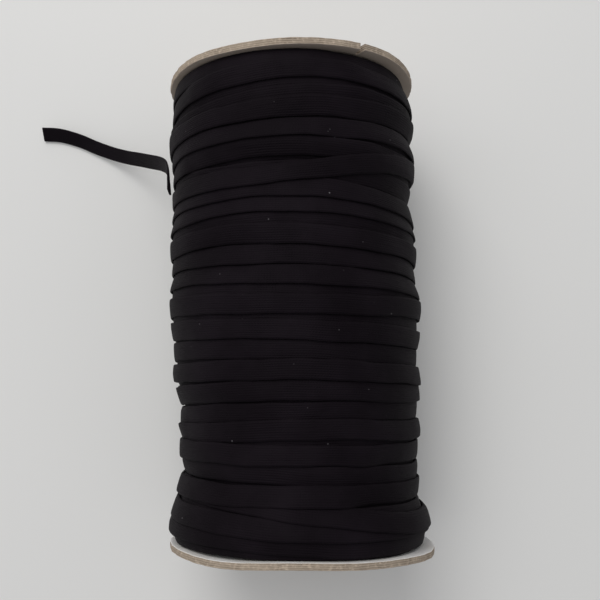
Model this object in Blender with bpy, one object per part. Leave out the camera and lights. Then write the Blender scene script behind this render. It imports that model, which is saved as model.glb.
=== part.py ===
"""Reel of elastic: flat braided elastic wound between two cardboard discs.

The reel lies on its side. Its axis runs along Y, +Z is up, and the origin is
on the surface under the middle of the reel. All sizes are in metres.
"""
import math

import bpy
from mathutils import Vector

# ---- driving dimensions -------------------------------------------------
DISC_RADIUS = 0.043
DISC_THICKNESS = 0.0021
REEL_LENGTH = 0.155           # over both discs
FLAT_SPOT = 0.0007            # depth of the flat that each disc rests on
BASE_SKEW = 0.06              # the base disc's rise along the reel towards -X
PIECE_GAP = 0.0003            # between the winding and each disc
WINDING_RADIUS = 0.0405
STRIP_WIDTH = 0.0060
STRIP_THICKNESS = 0.0011

# ---- how finely the solids are faceted ----------------------------------
DISC_SEGMENTS = 96
WINDING_SEGMENTS = 52
GROOVE_DEPTH = 0.0007
SHOULDER = 0.22               # place of a wrap's shoulder, as a part of its width
NARROWEST_WRAP = 0.0012
END_INSET = 0.0014            # how far the last wraps drop towards the discs
END_ROUND = 0.0040            # the width over which they drop

# ---- derived ------------------------------------------------------------
AXIS_HEIGHT = DISC_RADIUS - FLAT_SPOT
INNER_FACE = REEL_LENGTH / 2 - DISC_THICKNESS
WINDING_END = INNER_FACE - PIECE_GAP
MIDDLE_SHIFT = BASE_SKEW * DISC_RADIUS / 2    # brings the box's middle to Y = 0

# Each row is the upper edge of one visible wrap, from the base disc upward.
# along: its place on top of the reel; lean: its rise towards +X; arch: how
# much further up it lies at both sides than on top. left, right: how far the
# wrap below that edge stands over the winding's radius at -X and at +X.
# All in millimetres.
WRAPS = (
    # along, lean, arch, left, right
    (-73.8, -3.4, 0.0, 0.8, -0.2),
    (-69.4, -3.0, -0.6, 1.3, 0.7),
    (-64.8, -5.8, -0.6, 0.6, 0.5),
    (-60.0, -0.8, -0.4, -1.0, -1.8),
    (-55.0, -2.3, -0.6, -1.6, -1.6),
    (-49.1, -1.7, -0.4, -3.1, -1.4),
    (-42.0, -0.3, -1.8, -1.6, 0.0),
    (-36.7, 0.3, -1.6, -2.0, -0.8),
    (-30.7, 0.2, -1.8, -0.5, -0.6),
    (-24.8, -0.8, -1.6, 0.2, -0.2),
    (-18.6, -1.4, -1.4, 0.8, 0.1),
    (-13.4, -2.0, -0.6, 1.0, 0.6),
    (-6.3, -2.0, 0.0, 1.4, 0.6),
    (0.4, -0.9, 0.9, 0.3, 0.4),
    (4.6, -2.4, 0.4, 0.2, 0.0),
    (8.8, -1.7, 0.0, 0.8, 0.0),
    (14.9, -1.8, -0.2, 0.5, -0.3),
    (21.0, -1.7, -1.2, 0.2, -0.4),
    (24.5, -1.2, -1.6, 0.1, -0.6),
    (29.0, -1.5, -1.2, 0.3, -0.4),
    (33.9, 3.6, 3.0, 0.6, 0.2),
    (39.9, 4.3, 3.8, 1.6, 1.7),
    (47.3, 0.1, 0.0, 1.0, 1.1),
    (53.3, 1.3, 0.3, 0.7, 0.9),
    (59.2, 1.8, -0.6, 0.6, 0.5),
    (65.2, 2.2, -2.0, 0.5, 0.2),
    (70.8, 0.4, -1.6, 0.5, -0.1),
    (75.1, 0.0, 0.0, 0.2, -0.5),
)

# The loose end's centre line, from the reel to its tip. out and along are the
# X and Y of a point, up is its height, turn is the angle between the strip's
# width and the surface. Millimetres and degrees.
LOOSE_END = (
    # out, along, up, turn
    (-43.4, 41.6, 43.0, 88),
    (-43.7, 45.6, 42.2, 84),
    (-44.4, 49.6, 39.4, 76),
    (-46.2, 53.2, 34.4, 66),
    (-49.6, 56.4, 27.6, 58),
    (-54.6, 59.4, 20.4, 52),
    (-60.0, 62.2, 14.2, 49),
    (-65.0, 64.4, 9.6, 47),
    (-69.8, 66.4, 6.6, 46),
    (-74.4, 68.4, 4.6, 45),
    (-80.2, 71.0, 3.2, 44),
    (-87.2, 74.2, 2.8, 43),
    (-95.0, 76.6, 2.7, 42),
    (-102.0, 77.2, 2.7, 42),
)
LOOSE_END_STEPS = 3           # rings between two points of the table

MILLIMETRE = 0.001


# ---- helpers ------------------------------------------------------------
def clear_scene():
    """Remove every object that the file opened with."""
    for old in list(bpy.data.objects):
        bpy.data.objects.remove(old, do_unlink=True)


def make_material(name, color, roughness):
    """A Principled material of one plain colour."""
    material = bpy.data.materials.new(name)
    material.use_nodes = True
    shader = material.node_tree.nodes["Principled BSDF"]
    shader.inputs["Base Color"].default_value = (*color, 1.0)
    shader.inputs["Roughness"].default_value = roughness
    shader.inputs["Metallic"].default_value = 0.0
    material.diffuse_color = (*color, 1.0)
    return material


def add_solid(name, points, faces, material):
    """Put points and faces into one named mesh object."""
    mesh = bpy.data.meshes.new(name)
    mesh.from_pydata(points, [], faces)
    mesh.validate()
    mesh.materials.append(material)
    solid = bpy.data.objects.new(name, mesh)
    bpy.context.scene.collection.objects.link(solid)


def loft(name, rings, material):
    """Close a row of equal rings into one body with a flat fan at each end.

    The rings run counter-clockwise when seen from the last one's side.
    """
    count = len(rings[0])
    points = [point for ring in rings for point in ring]
    faces = []
    for row in range(len(rings) - 1):
        for column in range(count):
            following = (column + 1) % count
            low = row * count
            high = low + count
            faces.append((low + column, low + following, high + following, high + column))
    faces.append(tuple(reversed(range(count))))
    last = (len(rings) - 1) * count
    faces.append(tuple(last + column for column in range(count)))
    add_solid(name, points, faces, material)


def around_axis(angle, radius, along):
    """A point round the reel's axis: angle 0 is the top, 90 degrees is +X.

    The height is never under the surface that the reel lies on.
    """
    across = radius * math.sin(angle)
    height = AXIS_HEIGHT + radius * math.cos(angle)
    return Vector((across, along + MIDDLE_SHIFT, max(height, 0.0)))


def skewed(point):
    """The point moved along the reel as the base disc's slant moves it."""
    return point - Vector((0, BASE_SKEW * point.x, 0))


# ---- the two discs ------------------------------------------------------
def disc_ring(along):
    """One edge of a disc's rim."""
    ring = []
    for step in range(DISC_SEGMENTS):
        angle = 2 * math.pi * (step + 0.5) / DISC_SEGMENTS
        ring.append(around_axis(angle, DISC_RADIUS, along))
    return ring


def build_discs(top_material, base_material):
    """Two round card discs, each with its rim cut flat where it rests."""
    top_rings = [disc_ring(INNER_FACE), disc_ring(REEL_LENGTH / 2)]
    loft("flange_top", top_rings, top_material)
    base_rings = [disc_ring(-REEL_LENGTH / 2), disc_ring(-INNER_FACE)]
    loft("flange_base", [[skewed(point) for point in ring] for ring in base_rings], base_material)


# ---- the winding --------------------------------------------------------
def lower_end(angle):
    """Where the winding starts beside the slanted base disc."""
    return -WINDING_END - BASE_SKEW * WINDING_RADIUS * math.sin(angle)


def edge_places(angle):
    """Where each wrap's upper edge lies along the reel at one angle.

    An edge is its place on top, plus its lean times the sine of the angle,
    plus its arch times that sine squared. Edges never cross.
    """
    side = math.sin(angle)
    places = []
    lowest = lower_end(angle)
    for along, lean, arch, _left, _right in WRAPS:
        place = (along + lean * side + arch * side * side) * MILLIMETRE
        place = max(place, lowest + NARROWEST_WRAP)
        places.append(place)
        lowest = place
    highest = WINDING_END - NARROWEST_WRAP
    for index in reversed(range(len(places))):
        places[index] = min(places[index], highest)
        highest = places[index] - NARROWEST_WRAP
    return places


def wrap_height(row, angle):
    """How far one wrap stands over the winding's radius at one angle."""
    _along, _lean, _arch, left, right = WRAPS[row]
    share = (1 + math.sin(angle)) / 2
    return (left * (1 - share) + right * share) * MILLIMETRE


def end_drop(from_end):
    """How far the winding falls away beside a disc, a smooth quarter round."""
    depth = 1 - min(1.0, max(0.0, from_end) / END_ROUND)
    return END_INSET * (1 - math.sqrt(1 - depth * depth))


def winding_profile(angle):
    """The winding's section at one angle, as places along it and radii.

    Each wrap gives three points: the groove at its lower edge and its two
    shoulders. The groove between two wraps lies under the lower of them.
    """
    places = edge_places(angle)
    start = lower_end(angle)
    lower = start
    profile = []
    height_below = wrap_height(0, angle)
    for row, upper in enumerate(places):
        height = wrap_height(row, angle)
        width = upper - lower
        groove = min(height, height_below) - GROOVE_DEPTH
        profile.append((lower, groove))
        profile.append((lower + SHOULDER * width, height))
        profile.append((upper - SHOULDER * width, height))
        lower = upper
        height_below = height
    profile.append((WINDING_END, height_below - GROOVE_DEPTH))
    section = []
    for along, rise in profile:
        drop = end_drop(min(along - start, WINDING_END - along))
        section.append((along, WINDING_RADIUS + rise - drop))
    return section


def build_winding(material):
    """The wound body, lofted from its section at each angle."""
    angles = [2 * math.pi * step / WINDING_SEGMENTS for step in range(WINDING_SEGMENTS)]
    sections = [winding_profile(angle) for angle in angles]
    rings = []
    for row in range(len(sections[0])):
        ring = []
        for angle, section in zip(angles, sections):
            along, radius = section[row]
            ring.append(around_axis(angle, radius, along))
        rings.append(ring)
    first_radii = [section[0][1] for section in sections]
    rings[0] = [
        skewed(around_axis(angle, radius, -WINDING_END))
        for angle, radius in zip(angles, first_radii)
    ]
    loft("winding", rings, material)


# ---- the loose end ------------------------------------------------------
def smooth_between(before, start, end, after, share):
    """A point of a Catmull-Rom curve between start and end."""
    squared = share * share
    cubed = squared * share
    return (
        start * (1 - 2.5 * squared + 1.5 * cubed)
        + end * (0.5 * share + 2 * squared - 1.5 * cubed)
        + before * (-0.5 * share + squared - 0.5 * cubed)
        + after * (-0.5 * squared + 0.5 * cubed)
    )


def loose_end_line():
    """Points and turns along the loose end, read from its smooth curve."""
    rows = [Vector((out, along, up, turn)) for out, along, up, turn in LOOSE_END]
    rows.insert(0, rows[0] * 2 - rows[1])
    rows.append(rows[-1] * 2 - rows[-2])
    line = []
    for index in range(1, len(rows) - 2):
        for step in range(LOOSE_END_STEPS):
            share = step / LOOSE_END_STEPS
            line.append(smooth_between(*rows[index - 1:index + 3], share))
    line.append(rows[-2])
    shift = Vector((0, MIDDLE_SHIFT, 0))
    return [(point.xyz * MILLIMETRE + shift, math.radians(point.w)) for point in line]


def build_loose_end(material):
    """A flat strip along its line, four corners to a ring."""
    line = loose_end_line()
    rings = []
    for index, (point, turn) in enumerate(line):
        before = line[max(index - 1, 0)][0]
        after = line[min(index + 1, len(line) - 1)][0]
        along = (after - before).normalized()
        level = Vector((0, 0, 1)).cross(along).normalized()
        upright = along.cross(level)
        across = level * math.cos(turn) - upright * math.sin(turn)
        face = along.cross(across)
        wide = across * (STRIP_WIDTH / 2)
        thick = face * (STRIP_THICKNESS / 2)
        near = point - thick
        far = point + thick
        rings.append([near - wide, near + wide, far + wide, far - wide])
    loft("loose_end", rings, material)


# ---- the whole reel -----------------------------------------------------
def build_reel():
    """Make every piece of the reel."""
    clear_scene()
    elastic = make_material("black_elastic", (0.012, 0.011, 0.013), 0.75)
    loose_elastic = make_material("black_elastic_loose", (0.012, 0.011, 0.013), 0.75)
    card_top = make_material("card_top", (0.42, 0.34, 0.27), 0.85)
    card_base = make_material("card_base", (0.42, 0.34, 0.27), 0.85)
    build_discs(card_top, card_base)
    build_winding(elastic)
    build_loose_end(loose_elastic)


build_reel()
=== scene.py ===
"""Looks of a reel of elastic: flat black braid wound between two card discs.

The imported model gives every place. The winding's fine turns are laid here one
after another on a height field, so each turn rests on the turns under it. The
discs get their board, paper and wear, and the loose end follows the route of
its CAD strip. Lengths are in metres unless a name says millimetres.
"""
import logging
import math
from dataclasses import dataclass, field
from enum import Enum

import bpy
import numpy as np
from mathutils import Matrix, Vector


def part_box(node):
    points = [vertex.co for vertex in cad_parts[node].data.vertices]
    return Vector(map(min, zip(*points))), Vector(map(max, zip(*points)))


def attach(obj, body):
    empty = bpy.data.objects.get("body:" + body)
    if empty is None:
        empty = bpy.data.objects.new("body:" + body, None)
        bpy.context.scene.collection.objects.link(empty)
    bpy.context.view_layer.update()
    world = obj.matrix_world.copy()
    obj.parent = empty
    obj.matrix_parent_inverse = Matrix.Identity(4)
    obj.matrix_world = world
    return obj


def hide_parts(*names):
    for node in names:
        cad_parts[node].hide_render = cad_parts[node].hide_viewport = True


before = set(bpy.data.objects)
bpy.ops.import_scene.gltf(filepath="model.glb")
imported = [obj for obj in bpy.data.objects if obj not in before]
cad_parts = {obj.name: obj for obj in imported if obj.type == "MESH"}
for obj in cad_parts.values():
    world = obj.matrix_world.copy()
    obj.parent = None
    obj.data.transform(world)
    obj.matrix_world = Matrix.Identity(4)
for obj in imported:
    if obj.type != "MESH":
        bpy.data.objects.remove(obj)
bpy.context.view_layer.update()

logging.basicConfig(level=logging.INFO, format="%(levelname)s %(name)s: %(message)s")
LOG = logging.getLogger("reel")

MM = 0.001
BASE_BOW = 0.0019  # how far the base disc's sides bend away from the winding
BASE_TURN = 0.0009  # how far its -X side bends further than its +X side


class DiscEnd(Enum):
    """Which end of the reel a disc closes: its side along +Y."""

    TOP = 1
    BASE = -1


# ---------------------------------------------------------------- mesh tools
def smooth_noise(place: np.ndarray, waves: tuple[int, ...], seed: int) -> np.ndarray:
    """A periodic wander with a peak near 1.

    The sum of one sine for each wave number, each of a random phase and of a
    size that falls with the square root of its wave number.

    Args:
        place: Angles in radians, any shape.
        waves: How many times each sine repeats in a full turn.
        seed: Picks the phases.

    Returns:
        The wander at each place, same shape.
    """
    random = np.random.default_rng(seed)
    total = np.zeros_like(place)
    for wave in waves:
        total += np.sin(wave * place + random.uniform(0, 2 * math.pi)) / math.sqrt(wave)
    return total / math.sqrt(sum(1 / wave for wave in waves))


def blur_round(values: np.ndarray, reach: int) -> np.ndarray:
    """Average each sample with its neighbours up to reach away, three times.

    Args:
        values: Samples along axis 0, whose ends repeat outwards.
        reach: Half the width of the averaging window, in samples.

    Returns:
        The smoothed samples.
    """
    if reach < 1:
        return values
    window = 2 * reach + 1
    for _ in range(3):
        edge = [(reach, reach)] + [(0, 0)] * (values.ndim - 1)
        padded = np.pad(values, edge, mode="edge")
        running = np.cumsum(np.concatenate([np.zeros_like(padded[:1]), padded]), axis=0)
        values = (running[window:] - running[:-window]) / window
    return values


def smoothstep(share: np.ndarray) -> np.ndarray:
    """Three times the square less twice the cube, with the share held to 0..1."""
    held = np.clip(share, 0.0, 1.0)
    return held * held * (3 - 2 * held)


def grid_faces(rows: int, columns: int, first: int = 0) -> np.ndarray:
    """Quads between rows of points whose columns close into a ring.

    Args:
        rows: Number of rings.
        columns: Points in a ring.
        first: Index of the first ring's first point.

    Returns:
        Corner indices, one quad a row.
    """
    row, column = np.meshgrid(np.arange(rows - 1), np.arange(columns), indexing="ij")
    following = (column + 1) % columns
    low = first + row * columns
    high = low + columns
    quads = np.stack([low + column, low + following, high + following, high + column], axis=-1)
    return quads.reshape(-1, 4)


def mesh_from_arrays(
    name: str, points: np.ndarray, loops: np.ndarray, sizes: np.ndarray, uv: np.ndarray | None
) -> bpy.types.Object:
    """Put whole arrays of points and faces into a new mesh object.

    Args:
        name: The piece's name.
        points: Coordinates, one point a row.
        loops: The corner indices of all faces, one after another.
        sizes: How many corners each face has.
        uv: A pair for each corner, or None.

    Returns:
        The object, linked to the scene, at the origin.
    """
    mesh = bpy.data.meshes.new(name)
    mesh.vertices.add(len(points))
    mesh.vertices.foreach_set("co", np.ascontiguousarray(points, dtype=np.float32).ravel())
    mesh.loops.add(len(loops))
    mesh.loops.foreach_set("vertex_index", loops.astype(np.int32))
    mesh.polygons.add(len(sizes))
    starts = np.concatenate([[0], np.cumsum(sizes)[:-1]])
    mesh.polygons.foreach_set("loop_start", starts.astype(np.int32))
    mesh.update(calc_edges=True)
    if uv is not None:
        layer = mesh.uv_layers.new(name="UVMap")
        layer.uv.foreach_set("vector", np.ascontiguousarray(uv, dtype=np.float32).ravel())
    mesh.validate()
    mesh.shade_smooth()
    piece = bpy.data.objects.new(name, mesh)
    bpy.context.scene.collection.objects.link(piece)
    return piece


@dataclass
class Tube:
    """Rings of points along a path, closed at both ends by a flat face.

    Attributes:
        rings: Points as rings, ring points, coordinates. A ring runs
            counter-clockwise seen from the last ring's side.
        along: Distance along the path for each ring.
        across: Place across the strip for each ring point.
    """

    rings: np.ndarray
    along: np.ndarray
    across: np.ndarray

    def arrays(self, first: int) -> tuple[np.ndarray, np.ndarray, np.ndarray, np.ndarray]:
        """The tube's points, loops, face sizes and corner UVs.

        Args:
            first: Index that its first point gets in the joined mesh.

        Returns:
            Points, loops, sizes and UV pairs.
        """
        rows, columns = self.rings.shape[:2]
        points = self.rings.reshape(-1, 3)
        quads = grid_faces(rows, columns)
        caps = [np.arange(columns)[::-1], (rows - 1) * columns + np.arange(columns)]
        corners = np.concatenate([quads.ravel(), *caps])
        sizes = np.concatenate([np.full(len(quads), 4), [columns, columns]])
        row, column = corners // columns, corners % columns
        uv = np.stack([self.along[row], self.across[column]], axis=-1)
        return points, corners + first, sizes, uv


def join_tubes(name: str, tubes: list[Tube]) -> bpy.types.Object:
    """Put several tubes into one mesh object.

    Args:
        name: The piece's name.
        tubes: The tubes, which stay separate bodies.

    Returns:
        The new object.
    """
    parts = []
    first = 0
    for tube in tubes:
        part = tube.arrays(first)
        parts.append(part)
        first += len(part[0])
    points, loops, sizes, uv = (np.concatenate(column) for column in zip(*parts))
    return mesh_from_arrays(name, points, loops, sizes, uv)


# ------------------------------------------------------------------ finishes
class NodeSheet:
    """A material's node tree, with short calls for adding and joining nodes."""

    def __init__(self, name: str) -> None:
        """Start a material with only its Principled shader and output."""
        self.material = bpy.data.materials.new(name)
        self.material.use_nodes = True
        self.tree = self.material.node_tree
        self.shader = self.tree.nodes["Principled BSDF"]

    def add(self, kind: str, **settings: object) -> bpy.types.Node:
        """Add a node of a kind and set its attributes."""
        node = self.tree.nodes.new(kind)
        for key, value in settings.items():
            setattr(node, key, value)
        return node

    def feed(self, node: bpy.types.Node, socket: int | str, source: object) -> None:
        """Give an input a value, or join it to another node's output."""
        if isinstance(source, bpy.types.NodeSocket):
            self.tree.links.new(source, node.inputs[socket])
        else:
            node.inputs[socket].default_value = source

    def math(self, operation: str, *sources: object) -> bpy.types.NodeSocket:
        """A Math node's output, worked out from its sources."""
        node = self.add("ShaderNodeMath", operation=operation)
        for index, source in enumerate(sources):
            self.feed(node, index, source)
        return node.outputs[0]

    def noise(self, vector: object, scale: float, detail: float = 2.0) -> bpy.types.NodeSocket:
        """A Noise texture's factor.

        Args:
            vector: The places it is read at.
            scale: How fine it is.
            detail: How many finer layers it has.

        Returns:
            The factor's output.
        """
        node = self.add("ShaderNodeTexNoise")
        self.feed(node, "Vector", vector)
        self.feed(node, "Scale", scale)
        self.feed(node, "Detail", detail)
        return node.outputs["Fac"]

    def ramp(self, source: object, low: float, high: float) -> bpy.types.NodeSocket:
        """The source stretched so that low gives 0 and high gives 1, held between.

        Args:
            source: A value or an output.
            low: What gives 0.
            high: What gives 1.

        Returns:
            The stretched output.
        """
        node = self.add("ShaderNodeMapRange", clamp=True)
        for socket, value in (("Value", source), ("From Min", low), ("From Max", high)):
            self.feed(node, socket, value)
        return node.outputs["Result"]

    def blend(self, share: object, first: object, second: object) -> bpy.types.NodeSocket:
        """Two colours mixed by a share."""
        node = self.add("ShaderNodeMix", data_type="RGBA")
        self.feed(node, 0, share)
        self.feed(node, 6, first)
        self.feed(node, 7, second)
        return node.outputs[2]

    def bump(self, height: object, strength: float, distance: float) -> None:
        """Let a height shape the shader's normal."""
        node = self.add("ShaderNodeBump")
        self.feed(node, "Strength", strength)
        self.feed(node, "Distance", distance)
        self.feed(node, "Height", height)
        self.feed(self.shader, "Normal", node.outputs["Normal"])


@dataclass(frozen=True)
class BraidFinish:
    """Matt black flat braid: ribs along the strip, crossed by slanting yarns."""

    name: str = "black_braid"
    color: tuple[float, float, float] = (0.0044, 0.0026, 0.0044)
    worn_color: tuple[float, float, float] = (0.0090, 0.0062, 0.0092)
    lint_color: tuple[float, float, float] = (0.16, 0.15, 0.16)
    rib_pitch: float = 0.00068
    yarn_pitch: float = 0.00085
    yarn_slant: float = 1.1
    roughness: float = 0.72

    def material(self) -> bpy.types.Material:
        """Build the braid.

        The rib height is the sine of the place across. The yarn height is the
        sine of the place along plus a zigzag across, so that yarns lean one
        way on one rib and the other way on the next.

        Returns:
            The finished material.
        """
        sheet = NodeSheet(self.name)
        uv = sheet.add("ShaderNodeUVMap", uv_map="UVMap").outputs["UV"]
        split = sheet.add("ShaderNodeSeparateXYZ")
        sheet.feed(split, 0, uv)
        along, across = split.outputs[0], split.outputs[1]
        places = sheet.add("ShaderNodeTexCoord").outputs["Object"]

        rib_turn = sheet.math("MULTIPLY", across, math.pi / self.rib_pitch)
        rib = sheet.math("ABSOLUTE", sheet.math("SINE", rib_turn))
        zigzag = sheet.math("PINGPONG", across, self.rib_pitch)
        leaning = sheet.math("MULTIPLY_ADD", zigzag, self.yarn_slant, along)
        yarn_turn = sheet.math("MULTIPLY", leaning, 2 * math.pi / self.yarn_pitch)
        yarn = sheet.math("MULTIPLY_ADD", sheet.math("SINE", yarn_turn), 0.5, 0.5)
        weave = sheet.math("MULTIPLY_ADD", yarn, 0.45, rib)
        firm = sheet.ramp(sheet.noise(places, 140.0, 3.0), 0.25, 0.75)
        weave = sheet.math("MULTIPLY", weave, firm)
        stretch = sheet.add("ShaderNodeMapping")
        sheet.feed(stretch, "Vector", uv)
        sheet.feed(stretch, "Scale", (160.0, 900.0, 1.0))
        creases = sheet.noise(stretch.outputs[0], 1.0, 3.0)
        fuzz = sheet.noise(places, 2600.0, 3.0)
        rough = sheet.math("MULTIPLY_ADD", creases, 2.2, fuzz)
        height = sheet.math("MULTIPLY_ADD", rough, 0.8, weave)
        sheet.bump(height, 0.75, 0.00016)

        wear = sheet.ramp(sheet.noise(places, 55.0, 4.0), 0.38, 0.70)
        crest = sheet.math("MULTIPLY", sheet.math("MULTIPLY_ADD", rib, 0.5, 0.5), wear)
        worn = sheet.blend(crest, (*self.color, 1.0), (*self.worn_color, 1.0))
        specks = sheet.add("ShaderNodeTexVoronoi")
        sheet.feed(specks, "Vector", places)
        sheet.feed(specks, "Scale", 260.0)
        lint = sheet.ramp(specks.outputs["Distance"], 0.075, 0.03)
        thin = sheet.ramp(sheet.noise(places, 90.0), 0.54, 0.62)
        shown = sheet.math("MULTIPLY", lint, thin)
        sheet.feed(sheet.shader, "Base Color", sheet.blend(shown, worn, (*self.lint_color, 1.0)))
        sheet.feed(sheet.shader, "Roughness", self.roughness)
        sheet.feed(sheet.shader, "Specular IOR Level", 0.07)
        sheet.feed(sheet.shader, "Sheen Weight", 0.014)
        sheet.feed(sheet.shader, "Sheen Roughness", 0.45)
        return sheet.material


@dataclass(frozen=True)
class BoardFinish:
    """Raw grey board seen on a cut edge: thin plies, fibres and some dirt."""

    name: str = "board_edge"
    color: tuple[float, float, float] = (0.40, 0.33, 0.26)
    dark_color: tuple[float, float, float] = (0.16, 0.125, 0.095)
    ply_pitch: float = 0.00062

    def material(self) -> bpy.types.Material:
        """Build the board: a sine along the reel for the plies, noise for fibres.

        Returns:
            The finished material.
        """
        sheet = NodeSheet(self.name)
        places = sheet.add("ShaderNodeTexCoord").outputs["Object"]
        uv = sheet.add("ShaderNodeUVMap", uv_map="UVMap").outputs["UV"]
        split = sheet.add("ShaderNodeSeparateXYZ")
        sheet.feed(split, 0, uv)
        wander = sheet.noise(places, 160.0, 3.0)
        shifted = sheet.math("MULTIPLY_ADD", wander, 0.0007, split.outputs[1])
        turn = sheet.math("MULTIPLY", shifted, 2 * math.pi / self.ply_pitch)
        ply = sheet.math("MULTIPLY_ADD", sheet.math("SINE", turn), 0.5, 0.5)
        fibres = sheet.noise(places, 900.0, 4.0)
        patches = sheet.noise(places, 120.0, 3.0)
        dark = sheet.math("MULTIPLY", ply, sheet.ramp(patches, 0.3, 0.7))
        mixed = sheet.blend(dark, (*self.color, 1.0), (*self.dark_color, 1.0))
        pale = tuple(min(1.0, 1.35 * part) for part in self.color)
        final = sheet.blend(sheet.ramp(fibres, 0.5, 0.75), mixed, (*pale, 1.0))
        sheet.feed(sheet.shader, "Base Color", final)
        sheet.feed(sheet.shader, "Roughness", 0.9)
        sheet.feed(sheet.shader, "Specular IOR Level", 0.15)
        sheet.bump(sheet.math("MULTIPLY_ADD", fibres, 0.7, ply), 0.5, 0.0002)
        return sheet.material


@dataclass(frozen=True)
class PaperFinish:
    """Smooth liner paper glued on a disc's face, with faint fibres and scuffs."""

    name: str
    color: tuple[float, float, float]
    scuff_color: tuple[float, float, float]

    def material(self) -> bpy.types.Material:
        """Build the paper: broad scuffs by noise over fine fibre grain.

        Returns:
            The finished material.
        """
        sheet = NodeSheet(self.name)
        places = sheet.add("ShaderNodeTexCoord").outputs["Object"]
        grain = sheet.noise(places, 1500.0, 4.0)
        patches = sheet.noise(places, 70.0, 5.0)
        scuffed = sheet.blend(sheet.ramp(patches, 0.45, 0.8), (*self.color, 1.0), (*self.scuff_color, 1.0))
        pale = tuple(min(1.0, 1.08 * part) for part in self.color)
        final = sheet.blend(sheet.ramp(grain, 0.55, 0.8), scuffed, (*pale, 1.0))
        sheet.feed(sheet.shader, "Base Color", final)
        sheet.feed(sheet.shader, "Roughness", 0.82)
        sheet.feed(sheet.shader, "Specular IOR Level", 0.25)
        sheet.bump(sheet.math("MULTIPLY_ADD", patches, 1.5, grain), 0.35, 0.00012)
        return sheet.material


@dataclass(frozen=True)
class FloorFinish:
    """A plain pale matt surface."""

    name: str = "pale_floor"
    color: tuple[float, float, float] = (0.80, 0.80, 0.79)

    def material(self) -> bpy.types.Material:
        """Build the floor with a barely uneven tone.

        Returns:
            The finished material.
        """
        sheet = NodeSheet(self.name)
        places = sheet.add("ShaderNodeTexCoord").outputs["Object"]
        tone = sheet.ramp(sheet.noise(places, 6.0, 2.0), 0.2, 0.8)
        dim = tuple(0.97 * part for part in self.color)
        sheet.feed(sheet.shader, "Base Color", sheet.blend(tone, (*self.color, 1.0), (*dim, 1.0)))
        sheet.feed(sheet.shader, "Roughness", 0.9)
        sheet.feed(sheet.shader, "Specular IOR Level", 0.1)
        return sheet.material


# -------------------------------------------------------------- the frame
@dataclass(frozen=True)
class ReelFrame:
    """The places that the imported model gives, in metres.

    Attributes:
        axis_height: Height of the reel's axis over the surface.
        disc_radius: Radius of both discs.
        base_inner, top_inner: Middle of each disc's inner face along Y.
        thickness: A disc's thickness.
        skew: How far along the reel the base disc rises for each metre of -X.
    """

    axis_height: float
    disc_radius: float
    base_inner: float
    top_inner: float
    thickness: float
    skew: float

    @classmethod
    def measured(cls) -> "ReelFrame":
        """Read the places from the CAD nodes' boxes."""
        top_low, top_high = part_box("flange_top")
        base_low, base_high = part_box("flange_base")
        radius = (top_high[0] - top_low[0]) / 2
        thickness = top_high[1] - top_low[1]
        lean = (base_high[1] - base_low[1] - thickness) / (2 * radius)
        base_middle = (base_low[1] + base_high[1]) / 2
        return cls(
            axis_height=top_high[2] - radius,
            disc_radius=radius,
            base_inner=base_middle + thickness / 2,
            top_inner=top_low[1],
            thickness=thickness,
            skew=lean,
        )

    @property
    def middle(self) -> float:
        """Where the middle of the winding lies along Y."""
        return (self.base_inner + self.top_inner) / 2

    def round_axis(self, angle: np.ndarray, radius: np.ndarray, along: np.ndarray) -> np.ndarray:
        """Points round the axis: angle 0 is the top and a quarter turn is +X.

        Args:
            angle: Radians.
            radius: Distance from the axis.
            along: Place along Y.

        Returns:
            Points, with the coordinates last, none under the surface.
        """
        across = radius * np.sin(angle)
        height = np.maximum(self.axis_height + radius * np.cos(angle), 0.0)
        return np.stack(np.broadcast_arrays(across, along, height), axis=-1)


# ------------------------------------------------------------- the winding
@dataclass(frozen=True)
class Wrap:
    """One turn of the strip round the reel, in millimetres from its middle.

    Attributes:
        along: Place of its centre line on top of the reel.
        lean: How far it rises along the reel from the top to the +X side.
        arch: How much further up it lies at both sides than on top.
        lap: When it is laid; a higher lap lies over a lower one.
        drape: How far it follows what is under it, from 0, a flat plank, to 1.
    """

    along: float
    lean: float
    arch: float
    lap: float
    drape: float = 0.35


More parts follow.
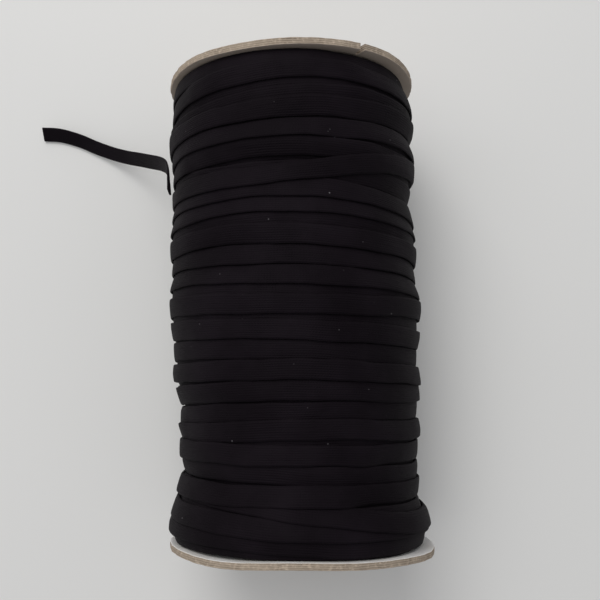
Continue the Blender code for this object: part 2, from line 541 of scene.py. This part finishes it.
@dataclass
class Winding:
    """All turns of the elastic, each resting on the turns laid before it.

    Lengths are in millimetres. base_layers is how many strip thicknesses the
    first field lies under the body radius, and rolling_height how far it
    rolls. steepest is the most that a turn tilts across. crown is how much
    thinner a strip's edge is, and edge_start where its rounding begins.
    """

    place: ReelFrame
    finish: bpy.types.Material
    strip_width: float = 6.0
    strip_thickness: float = 0.95
    body_radius: float = 40.5
    steps: int = 360
    cell: float = 0.25
    wraps: tuple[Wrap, ...] = (
        Wrap(73.2, 0.6, -0.8, 0),
        Wrap(68.0, 1.2, -2.0, 3),
        Wrap(63.6, 2.0, -1.2, 0),
        Wrap(59.6, 1.8, -0.6, 1),
        Wrap(56.2, 1.5, 0.0, 3),
        Wrap(50.2, 0.6, 0.0, 2),
        Wrap(44.3, 0.0, 0.0, 1),
        Wrap(36.9, 4.0, 3.5, 7, 0.6),
        Wrap(32.0, -1.4, -1.5, 2),
        Wrap(27.4, -1.3, -1.6, 1),
        Wrap(22.3, -1.4, -1.8, 0),
        Wrap(17.9, -1.8, -0.8, 2),
        Wrap(11.9, -1.8, -0.1, 1),
        Wrap(6.2, -2.2, -0.2, 0),
        Wrap(1.7, -2.2, 0.2, -1),
        Wrap(-2.6, -1.1, 0.6, 2),
        Wrap(-6.0, -2.2, 0.0, 0),
        Wrap(-10.2, -2.3, -0.3, 2),
        Wrap(-15.9, -1.8, -1.0, 1),
        Wrap(-21.7, -1.1, -1.5, 3),
        Wrap(-27.7, -0.3, -1.7, 2),
        Wrap(-33.7, 0.2, -1.9, 1),
        Wrap(-39.2, 0.0, -1.8, 2),
        Wrap(-46.1, -1.0, -1.1, 3),
        Wrap(-52.0, -2.0, -0.5, 0),
        Wrap(-57.9, -1.4, -0.4, 5),
        Wrap(-61.8, -6.2, -1.2, 4, 0.6),
        Wrap(-63.2, -2.6, -0.4, 1),
        Wrap(-66.4, -3.0, -0.9, 2),
        Wrap(-70.6, -3.2, -1.2, 1),
        Wrap(-73.6, -0.6, -2.8, 0),
    )
    # Columns: place along the reel, then how far the winding stands over its
    # body radius at -X and at +X, all in millimetres.
    body: tuple[tuple[float, float, float], ...] = (
        (-76.0, 2.3, 0.1),
        (-70.0, 1.6, 0.6),
        (-62.0, -1.2, -1.6),
        (-54.0, -3.3, -1.4),
        (-44.0, -1.8, -0.2),
        (-36.0, -1.8, -0.8),
        (-24.0, 0.5, -0.2),
        (-10.0, 1.2, 0.6),
        (0.0, 0.5, 0.2),
        (15.0, 0.5, -0.3),
        (30.0, 0.2, -0.5),
        (46.0, 0.6, 0.9),
        (60.0, 0.6, 0.4),
        (76.0, 0.3, -0.6),
    )
    tuck_angles: tuple[float, float] = (-97.0, -80.0)
    tuck_along: tuple[float, float] = (37.0, 43.0)
    ring_top: tuple[float, ...] = (
        -1.0, -0.985, -0.93, -0.78, -0.52, -0.26, 0.0, 0.26, 0.52, 0.78, 0.93, 0.985, 1.0,
    )
    base_layers: float = 2.35
    rolling_height: float = 0.32
    steepest: float = 0.30
    crown: float = 0.38
    edge_start: float = 0.93
    under_pitch: float = 5.7
    ring_under: tuple[float, ...] = (0.985, 0.90, 0.40, -0.40, -0.90, -0.985)
    field_height: np.ndarray = field(init=False)
    field_along: np.ndarray = field(init=False)
    angles: np.ndarray = field(init=False)

    def __post_init__(self) -> None:
        """Set up the height field: a radius for each angle and place along."""
        half_length = (self.place.top_inner - self.place.base_inner) / 2 / MM
        self.field_along = np.arange(-half_length - 4.0, half_length + 4.0, self.cell)
        self.angles = np.radians(np.linspace(-180.0, 180.0, self.steps + 1))
        table = np.array(self.body)
        left = np.interp(self.field_along, table[:, 0], table[:, 1])
        right = np.interp(self.field_along, table[:, 0], table[:, 2])
        reach = int(2.5 / self.cell)
        left, right = blur_round(left, reach), blur_round(right, reach)
        share = (1 + np.sin(self.angles[:-1, None])) / 2
        level = left * (1 - share) + right * share
        drift = self.angles[:-1, None] + 0.35 * self.field_along
        rolling = self.rolling_height * smooth_noise(drift, (2, 3, 5), 61)
        base = self.body_radius - self.base_layers * self.strip_thickness
        self.field_height = base + level + rolling

    @property
    def half_width(self) -> float:
        """Half the strip's width, in millimetres."""
        return self.strip_width / 2

    def sample(self, along: np.ndarray) -> np.ndarray:
        """The height field under places given for every angle.

        Args:
            along: Places along the reel, angles by places.

        Returns:
            Radii, linear between the field's cells.
        """
        position = (along - self.field_along[0]) / self.cell
        position = np.clip(position, 0, len(self.field_along) - 1.001)
        low = position.astype(int)
        share = position - low
        row = (np.arange(along.shape[0]) % self.steps)[:, None]
        return self.field_height[row, low] * (1 - share) + self.field_height[row, low + 1] * share

    def path(self, wrap: Wrap, above: float, below: float, seed: int) -> np.ndarray:
        """A wrap's place along the reel at every angle.

        On top it follows along + lean * sine + arch * sine squared. From a
        third of a turn on it eases to the place halfway to its neighbour, so
        that the turns follow each other as one spiral.

        Args:
            wrap: The wrap.
            above, below: Where it meets the neighbours under the reel.
            seed: Picks its small wander.

        Returns:
            Places in millimetres.
        """
        side = np.sin(self.angles)
        near = wrap.along + wrap.lean * side + wrap.arch * side * side
        share = smoothstep((np.abs(self.angles) - math.radians(105)) / math.radians(75))
        meeting = np.where(self.angles < 0, above, below)
        wander = 0.26 * smooth_noise(self.angles, (2, 3, 5, 8, 13), seed)
        return near * (1 - share) + meeting * share + wander * (1 - share)

    def hull_over(self, heights: np.ndarray) -> np.ndarray:
        """The upper hull of each row of heights.

        Each place takes the highest of all straight lines between a place at
        or before it and one at or after it.

        Args:
            heights: Angles by places across, evenly spaced.

        Returns:
            The hull, same shape.
        """
        count = heights.shape[1]
        hull = heights.copy()
        for start in range(count - 1):
            for end in range(start + 1, count):
                share = np.arange(0, end - start + 1) / (end - start)
                line = heights[:, start, None] * (1 - share) + heights[:, end, None] * share
                hull[:, start:end + 1] = np.maximum(hull[:, start:end + 1], line)
        return hull

    def tighten(self, radius: np.ndarray, rounds: int = 40) -> np.ndarray:
        """Pull a turn taut: no place lies further in than the chord beside it.

        One over the radius of a chord's middle is the mean of one over the
        radii of its ends, divided by the cosine of the step.

        Args:
            radius: The turn's radius at every angle.
            rounds: How many times each place is compared with its neighbours.

        Returns:
            The radius, nowhere smaller than before.
        """
        inverse = 1 / radius
        step = math.cos(self.angles[1] - self.angles[0])
        for _ in range(rounds):
            chord = (inverse[:-2] + inverse[2:]) / (2 * step)
            inverse[1:-1] = np.minimum(inverse[1:-1], chord)
        return 1 / inverse

    def lay(self, path: np.ndarray, drape: float) -> tuple[np.ndarray, np.ndarray]:
        """Lay one turn on the height field and raise the field by it.

        The turn's underside is between a plank that touches the field's hull
        under its centre line and that hull itself.

        Args:
            path: Places along the reel at every angle.
            drape: The share of the hull.

        Returns:
            Places across the strip and the underside's radii there.
        """
        across = np.linspace(-self.half_width, self.half_width, 17)
        spacing = across[1] - across[0]
        hull = self.hull_over(self.sample(path[:, None] + across))
        centre = len(across) // 2
        slope = (hull[:, centre + 1] - hull[:, centre - 1]) / (2 * spacing)
        slope = np.clip(blur_round(slope, 3), -self.steepest, self.steepest)
        plank = hull[:, centre, None] + slope[:, None] * across
        under = plank * (1 - drape) + hull * drape
        rise = self.tighten(under[:, centre].copy()) - under[:, centre]
        under = blur_round(under + rise[:, None], 2)
        self.raise_field(path, across, under)
        return across, under

    def raise_field(self, path: np.ndarray, across: np.ndarray, under: np.ndarray) -> None:
        """Lift the height field to the upper side of a turn just laid.

        Args:
            path: Places along the reel at every angle.
            across: Places across the strip.
            under: The underside's radii there.
        """
        offset = self.field_along[None, :] - path[:-1, None]
        position = (offset + self.half_width) / (across[1] - across[0])
        inside = (position >= 0) & (position <= len(across) - 1)
        held = np.clip(position, 0, len(across) - 1.001)
        low = held.astype(int)
        share = held - low
        row = np.arange(self.steps)[:, None]
        top = under[row, low] * (1 - share) + under[row, low + 1] * share
        top = top + self.strip_thickness * 0.97
        self.field_height = np.where(inside, np.maximum(self.field_height, top), self.field_height)

    def tube(self, path: np.ndarray, across: np.ndarray, under: np.ndarray, seed: int, stride: int) -> Tube:
        """The closed strip over an underside, with soft edges.

        Args:
            path: Places along the reel at every angle.
            across: Places across where the underside is known.
            under: The underside's radii.
            seed: Picks how its width wavers.
            stride: Steps between two rings.

        Returns:
            The strip's rings.
        """
        top, low = np.array(self.ring_top), np.array(self.ring_under)
        ring = np.concatenate([top, low])
        past_edge = ((np.abs(ring) - self.edge_start) / (1 - self.edge_start)).clip(0, 1)
        edge = np.sqrt(np.maximum(0.0, 1 - past_edge**2))
        crown = 1 - self.crown * np.abs(ring) ** 3
        upper = np.arange(len(ring)) < len(top)
        lift = self.strip_thickness * np.where(upper, 0.5 + 0.5 * edge * crown, 0.5 - 0.5 * edge)
        pick = slice(None, None, stride)
        angle = self.angles[pick]
        waver = 1 + 0.030 * smooth_noise(angle, (3, 7, 16, 29, 41), seed)
        offset = ring[None, :] * self.half_width * waver[:, None]
        position = np.clip((offset + self.half_width) / (across[1] - across[0]), 0, len(across) - 1.001)
        index = position.astype(int)
        share = position - index
        row = np.arange(len(angle))[:, None]
        chosen = under[pick]
        base = chosen[row, index] * (1 - share) + chosen[row, index + 1] * share
        radius = (base + lift[None, :]) * MM
        along = (path[pick, None] + offset) * MM + self.place.middle
        rings = self.place.round_axis(angle[:, None], radius, along)
        length = angle * self.body_radius * MM + seed * 0.37
        return Tube(rings[:, ::-1], length, (ring * self.half_width * MM)[::-1])

    def under_layer(self) -> list[Tube]:
        """An even layer of turns below the ones that show.

        Returns:
            The turns, already laid on the field.
        """
        tubes = []
        pitch = self.under_pitch
        random = np.random.default_rng(5)
        half = (self.place.top_inner - self.place.base_inner) / 2 / MM - self.half_width - 0.6
        count = int(2 * half / pitch) + 1
        places = np.linspace(half, -half, count) + random.uniform(-0.7, 0.7, count)
        for number, place in enumerate(np.clip(places, -half, half)):
            wrap = Wrap(float(place), -1.5, random.uniform(-0.8, 0.8), 0)
            path = self.path(wrap, place + pitch / 2, place - pitch / 2, 100 + number)
            path = self.keep_inside(path)
            across, under = self.lay(path, 0.5)
            tubes.append(self.tube(path, across, under, 100 + number, 3))
        return tubes

    def keep_inside(self, path: np.ndarray) -> np.ndarray:
        """Hold a turn between the discs, whose base one is slanted.

        Args:
            path: Places along the reel at every angle, in millimetres.

        Returns:
            The places, clear of both discs.
        """
        half = (self.place.top_inner - self.place.base_inner) / 2 / MM
        room = self.half_width * 1.03 + 0.25
        side = np.sin(self.angles)
        slant = self.place.skew * self.body_radius * side + 0.85 * (BASE_BOW * side - BASE_TURN) / MM * side
        return np.clip(path, -half - slant + room, half - room)

    def tuck(self) -> None:
        """Raise the field where the loose end is tucked under the last wrap."""
        first, last = (math.radians(value) for value in self.tuck_angles)
        angle = self.angles[:-1, None]
        round_share = smoothstep((angle - first) / 0.06) * smoothstep((last - angle) / 0.06)
        low, high = self.tuck_along
        along_share = smoothstep((self.field_along - low) / 0.8) * smoothstep((high - self.field_along) / 0.8)
        self.field_height += 0.9 * self.strip_thickness * round_share * along_share

    def build(self) -> list[bpy.types.Object]:
        """Lay every wrap in the order of its lap and make the pieces.

        Returns:
            The pieces, each a few neighbouring wraps.
        """
        pieces = [join_tubes("winding_under", self.under_layer())]
        meets = [(first.along + second.along) / 2 for first, second in zip(self.wraps, self.wraps[1:])]
        meets = [self.wraps[0].along, *meets, self.wraps[-1].along]
        order = sorted(range(len(self.wraps)), key=lambda index: self.wraps[index].lap)
        tubes: dict[int, Tube] = {}
        last = order[-1]
        for index in order:
            wrap = self.wraps[index]
            if index == last:
                self.tuck()
            path = self.path(wrap, meets[index], meets[index + 1], index)
            path = self.keep_inside(path)
            across, under = self.lay(path, wrap.drape)
            tubes[index] = self.tube(path, across, under, index, 1)
        group = 8
        for start in range(0, len(self.wraps), group):
            chosen = [tubes[index] for index in sorted(tubes)[start:start + group]]
            pieces.append(join_tubes(f"winding_wraps_{start // group + 1}", chosen))
        for piece in pieces:
            piece.data.materials.append(self.finish)
            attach(piece, "root")
            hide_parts("winding")
            LOG.info("%s: %d faces", piece.name, len(piece.data.polygons))
        return pieces


# ----------------------------------------------------------- the loose end
@dataclass
class LooseEnd:
    """The strip's free end, from under the last wrap down to the surface."""

    place: ReelFrame
    finish: bpy.types.Material
    width: float = 0.006
    thickness: float = 0.00085
    steps: int = 8
    # Columns: X, place along the reel from its middle, height, and the angle
    # between the strip's width and the surface. Millimetres and degrees.
    route: tuple[tuple[float, float, float, float], ...] = (
        (-43.4, 41.6, 43.0, 88),
        (-43.7, 45.6, 42.2, 84),
        (-44.4, 49.6, 39.4, 76),
        (-46.2, 53.2, 34.4, 66),
        (-49.6, 56.4, 27.6, 58),
        (-54.6, 59.4, 20.4, 52),
        (-60.0, 62.2, 14.2, 49),
        (-65.0, 64.4, 9.6, 47),
        (-69.8, 66.4, 6.6, 46),
        (-74.4, 68.4, 4.6, 45),
        (-80.2, 71.0, 3.2, 44),
        (-87.2, 74.2, 2.8, 43),
        (-95.0, 76.6, 2.7, 42),
        (-102.0, 77.2, 2.7, 42),
    )

    def line(self) -> np.ndarray:
        """Points and turns on a Catmull-Rom curve through the route."""
        rows = np.array(self.route)
        rows = np.vstack([2 * rows[0] - rows[1], rows, 2 * rows[-1] - rows[-2]])
        share = (np.arange(self.steps) / self.steps)[None, :, None]
        before, start, end, after = (rows[i:len(rows) - 3 + i, None, :] for i in range(4))
        curve = (
            start * (1 - 2.5 * share**2 + 1.5 * share**3)
            + end * (0.5 * share + 2 * share**2 - 1.5 * share**3)
            + before * (-0.5 * share + share**2 - 0.5 * share**3)
            + after * (-0.5 * share**2 + 0.5 * share**3)
        )
        return np.vstack([curve.reshape(-1, 4), rows[-2]])

    def build(self) -> bpy.types.Object:
        """Returns:
            The loose end's piece.
        """
        line = self.line()
        centre = line[:, :3] * MM + np.array([0.0, self.place.middle, 0.0])
        turn = np.radians(line[:, 3])[:, None]
        forward = np.gradient(centre, axis=0)
        forward /= np.linalg.norm(forward, axis=1, keepdims=True)
        level = np.cross([0.0, 0.0, 1.0], forward)
        level /= np.linalg.norm(level, axis=1, keepdims=True)
        upright = np.cross(forward, level)
        across = level * np.cos(turn) - upright * np.sin(turn)
        face = np.cross(forward, across)
        share = np.linspace(0, 2 * math.pi, 22, endpoint=False)
        wide = np.sign(np.cos(share)) * np.abs(np.cos(share)) ** 0.45
        thick = np.sign(np.sin(share)) * np.abs(np.sin(share)) ** 0.45
        rings = (
            centre[:, None, :]
            + across[:, None, :] * (wide * self.width / 2)[None, :, None]
            + face[:, None, :] * (thick * self.thickness / 2)[None, :, None]
        )
        steps = np.linalg.norm(np.diff(centre, axis=0), axis=1)
        along = np.concatenate([[0.0], np.cumsum(steps)])
        piece = join_tubes("loose_end_strip", [Tube(rings, along, wide * self.width / 2)])
        piece.data.materials.append(self.finish)
        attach(piece, "root")
        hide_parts("loose_end")
        LOG.info("%s: %.1f mm long", piece.name, along[-1] / MM)
        return piece


# --------------------------------------------------------------- the discs
@dataclass
class Disc:
    """One card disc: board edge, a paper liner on each face, and its wear."""

    place: ReelFrame
    end: DiscEnd
    board: bpy.types.Material
    inner_paper: bpy.types.Material
    outer_paper: bpy.types.Material
    radius: float
    seed: int
    wave: float = 0.0004
    notch_angle: float | None = None
    notch_width: float = 0.0012
    notch_depth: float = 0.0036
    segments: int = 720
    shift: float = 0.0

    def profile(self) -> tuple[np.ndarray, np.ndarray, np.ndarray]:
        """The disc's section from the outer face's centre to the inner's.

        Returns:
            Shares of the radius, heights over the inner face as shares of the
            thickness, and which material each stretch takes.
        """
        faces = np.array([0.0, 0.15, 0.35, 0.55, 0.72, 0.84, 0.92, 0.965, 0.988, 0.996])
        rim = np.array([0.9995, 1.0, 1.0015, 1.0, 0.9995])
        rim_height = np.array([0.95, 0.82, 0.5, 0.18, 0.05])
        share = np.concatenate([faces, rim, faces[::-1]])
        height = np.concatenate([np.ones(len(faces)), rim_height, np.zeros(len(faces))])
        kind = np.concatenate([np.full(len(faces), 2), np.zeros(len(rim) - 1), np.full(len(faces), 1)])
        return share, height, kind.astype(int)

    def build(self) -> bpy.types.Object:
        """Turn the section round the axis, warp it and dress its faces.

        The warp along the reel is the base disc's slant plus a few slow
        waves that grow with the square of the distance from the centre.

        Returns:
            The disc's piece.
        """
        share, height, kind = self.profile()
        angle = np.linspace(-math.pi, math.pi, self.segments, endpoint=False)
        if self.notch_angle is not None:
            angle = np.sort(self.crowd(angle))
        out = self.radius * (1 + 0.004 * smooth_noise(angle, (2, 3, 5), self.seed))
        out = out + 0.00008 * smooth_noise(angle, (31, 47, 83), self.seed + 1)
        radius = out[:, None] * share[None, :]
        if self.notch_angle is not None:
            radius = self.notched(angle, radius)
        side = float(self.end.value)
        inner = self.place.top_inner if self.end is DiscEnd.TOP else self.place.base_inner
        along = inner + side * height[None, :] * self.place.thickness
        growth = (radius / self.radius) ** 2
        warp = self.wave * smooth_noise(angle, (2, 3, 5, 7), self.seed + 2)[:, None] * growth
        along = along + warp
        if self.end is DiscEnd.BASE:
            along = along - self.place.skew * radius * np.sin(angle)[:, None]
            side_share = np.sin(angle)[:, None]
            along = along - growth * (BASE_BOW * side_share**2 - BASE_TURN * side_share)
        points = self.place.round_axis(angle[:, None], radius, along)
        points[..., 0] += self.shift
        return self.mesh(points, height, kind, angle)

    def crowd(self, angle: np.ndarray) -> np.ndarray:
        """Bring angles together round the notch, so that its sides are crisp.

        Args:
            angle: Even angles.

        Returns:
            The angles, with the near ones raised to a power of their offset.
        """
        offset = angle - self.notch_angle
        span = 0.25
        near = np.abs(offset) < span
        moved = np.sign(offset) * span * (np.abs(offset) / span) ** 1.8
        return np.where(near, self.notch_angle + moved, angle)

    def notched(self, angle: np.ndarray, radius: np.ndarray) -> np.ndarray:
        """Cut a narrow nick into the rim.

        The radius is held under the disc's less the nick's depth, with a
        smooth step at each of its sides.

        Args:
            angle: The angle of each row.
            radius: Angles by section points.

        Returns:
            The cut radii.
        """
        offset = np.abs(angle - self.notch_angle) * self.radius
        cut = 1 - smoothstep((offset - self.notch_width / 2) / 0.00012)
        limit = self.radius - self.notch_depth * cut
        return np.minimum(radius, limit[:, None])

    def mesh(
        self, points: np.ndarray, height: np.ndarray, kind: np.ndarray, angle: np.ndarray
    ) -> bpy.types.Object:
        """Close the turned section into a body and give each face its finish.

        Args:
            points: Angles by section points by coordinates.
            height: Shares of the thickness along the section.
            kind: Which material each stretch of the section takes.
            angle: The angle of each row.

        Returns:
            The disc's object.
        """
        rows, columns = points.shape[:2]
        inside = points[:, 1:-1]
        poles = np.stack([points[:, 0].mean(axis=0), points[:, -1].mean(axis=0)])
        width = columns - 2
        row, column = np.meshgrid(np.arange(rows), np.arange(width - 1), indexing="ij")
        following = (row + 1) % rows
        corners = [row * width + column, following * width + column]
        quads = np.stack([corners[0], corners[1], corners[1] + 1, corners[0] + 1], axis=-1).reshape(-1, 4)
        spoke = np.arange(rows)
        nextone = (spoke + 1) % rows
        outer_pole = rows * width
        first_fan = np.stack([nextone * width, spoke * width, np.full(rows, outer_pole)], axis=-1)
        last = width - 1
        inner_pole = np.full(rows, outer_pole + 1)
        last_fan = np.stack([spoke * width + last, nextone * width + last, inner_pole], axis=-1)
        if self.end is DiscEnd.BASE:
            quads, first_fan, last_fan = quads[:, ::-1], first_fan[:, ::-1], last_fan[:, ::-1]
        loops = np.concatenate([quads.ravel(), first_fan.ravel(), last_fan.ravel()])
        sizes = np.concatenate([np.full(len(quads), 4), np.full(2 * rows, 3)])
        everything = np.concatenate([inside.reshape(-1, 3), poles])
        round_place = np.concatenate([np.repeat(angle * self.radius, width), [0.0, 0.0]])
        edge_place = np.concatenate([np.tile(height[1:-1] * self.place.thickness, rows), [0.0, 0.0]])
        uv = np.stack([round_place[loops], edge_place[loops]], axis=-1)
        name = f"disc_{self.end.name.lower()}"
        piece = mesh_from_arrays(name, everything, loops, sizes, uv)
        for finish in (self.board, self.inner_paper, self.outer_paper):
            piece.data.materials.append(finish)
        quad_kind = np.tile(kind[1:-1], rows)
        kinds = np.concatenate([quad_kind, np.full(rows, 2), np.full(rows, 1)])
        piece.data.polygons.foreach_set("material_index", kinds.astype(np.int32))
        piece.data.set_sharp_from_angle(angle=math.radians(50))
        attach(piece, "root")
        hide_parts("flange_top" if self.end is DiscEnd.TOP else "flange_base")
        LOG.info("%s: %d faces", piece.name, len(piece.data.polygons))
        return piece


# -------------------------------------------------------------- the studio
@dataclass(frozen=True)
class Softbox:
    """A square area light: where it hangs, its side, its watts and its colour."""

    name: str
    at: tuple[float, float, float]
    size: float
    power: float
    color: tuple[float, float, float]


@dataclass
class Studio:
    """Camera, floor and soft light."""

    camera_at: tuple[float, float, float] = (0.00106, -0.02277, 0.29314)
    camera_tilt: float = 6.07
    camera_yaw: float = -1.18
    lens: float = 43.8
    floor_half: float = 2.0
    sky_color: tuple[float, float, float, float] = (0.96, 0.97, 1.0, 1.0)
    sky_strength: float = 0.34
    softboxes: tuple[Softbox, ...] = (
        Softbox("key", (-0.25, 0.80, 0.95), 0.8, 6.5, (1.0, 0.985, 0.96)),
        Softbox("overhead", (-0.30, 0.25, 1.2), 1.2, 4.8, (1.0, 0.995, 0.985)),
    )

    def add_camera(self) -> bpy.types.Object:
        """Place the camera over the reel, looking down and a little along it."""
        data = bpy.data.cameras.new("camera")
        data.lens = self.lens
        data.sensor_width = 36.0
        data.clip_start = 0.01
        camera = bpy.data.objects.new("camera", data)
        camera.location = self.camera_at
        camera.rotation_euler = (math.radians(self.camera_tilt), 0.0, math.radians(self.camera_yaw))
        bpy.context.scene.collection.objects.link(camera)
        bpy.context.scene.camera = camera
        return camera

    def add_floor(self) -> bpy.types.Object:
        """A flat pale floor at the height on which the reel rests."""
        half = self.floor_half
        points = np.array([(-half, -half, 0), (half, -half, 0), (half, half, 0), (-half, half, 0)])
        floor = mesh_from_arrays("floor", points, np.arange(4), np.array([4]), None)
        floor.data.materials.append(FloorFinish().material())
        return floor

    def add_light(self, softbox: Softbox) -> None:
        """Add one square area light that faces the reel.

        Args:
            softbox: Its name, place, size, power and colour.
        """
        data = bpy.data.lights.new(softbox.name, "AREA")
        data.size = softbox.size
        data.energy = softbox.power
        data.color = softbox.color
        light = bpy.data.objects.new(softbox.name, data)
        light.location = softbox.at
        aim = -np.array(softbox.at) / np.linalg.norm(softbox.at)
        light.rotation_euler = (math.acos(-aim[2]), 0.0, math.atan2(-aim[0], aim[1]))
        bpy.context.scene.collection.objects.link(light)

    def add_lights(self) -> None:
        """A broad light from beyond the top disc, a fill, and a pale sky."""
        for softbox in self.softboxes:
            self.add_light(softbox)
        world = bpy.data.worlds.new("sky")
        world.use_nodes = True
        background = world.node_tree.nodes["Background"]
        background.inputs["Color"].default_value = self.sky_color
        background.inputs["Strength"].default_value = self.sky_strength
        bpy.context.scene.world = world
        bpy.context.scene.view_settings.view_transform = "Standard"


def main() -> None:
    """Build the reel's looks in order and report each piece."""
    place = ReelFrame.measured()
    LOG.info("frame: %s", place)
    studio = Studio()
    studio.add_camera()
    braid = BraidFinish().material()
    LooseEnd(place, braid).build()
    board = BoardFinish().material()
    white = PaperFinish("white_liner", (0.78, 0.77, 0.76), (0.66, 0.63, 0.58)).material()
    # Painted shade: the top disc's inner face is the same white paper as the base's, darkened here because it
    # faces away from the key light; this darker copy also covers both outer faces.
    grey = PaperFinish("liner_painted_shade", (0.44, 0.37, 0.31), (0.38, 0.315, 0.26)).material()
    # The top disc's inner face takes the liner darkened for painted shade.
    Disc(place, DiscEnd.TOP, board, grey, grey, 0.0424, 11, notch_angle=math.radians(32)).build()
    Disc(place, DiscEnd.BASE, board, white, grey, 0.0431, 23, shift=0.0006).build()
    Winding(place, braid).build()
    studio.add_floor()
    studio.add_lights()


if __name__ == "__main__":
    main()
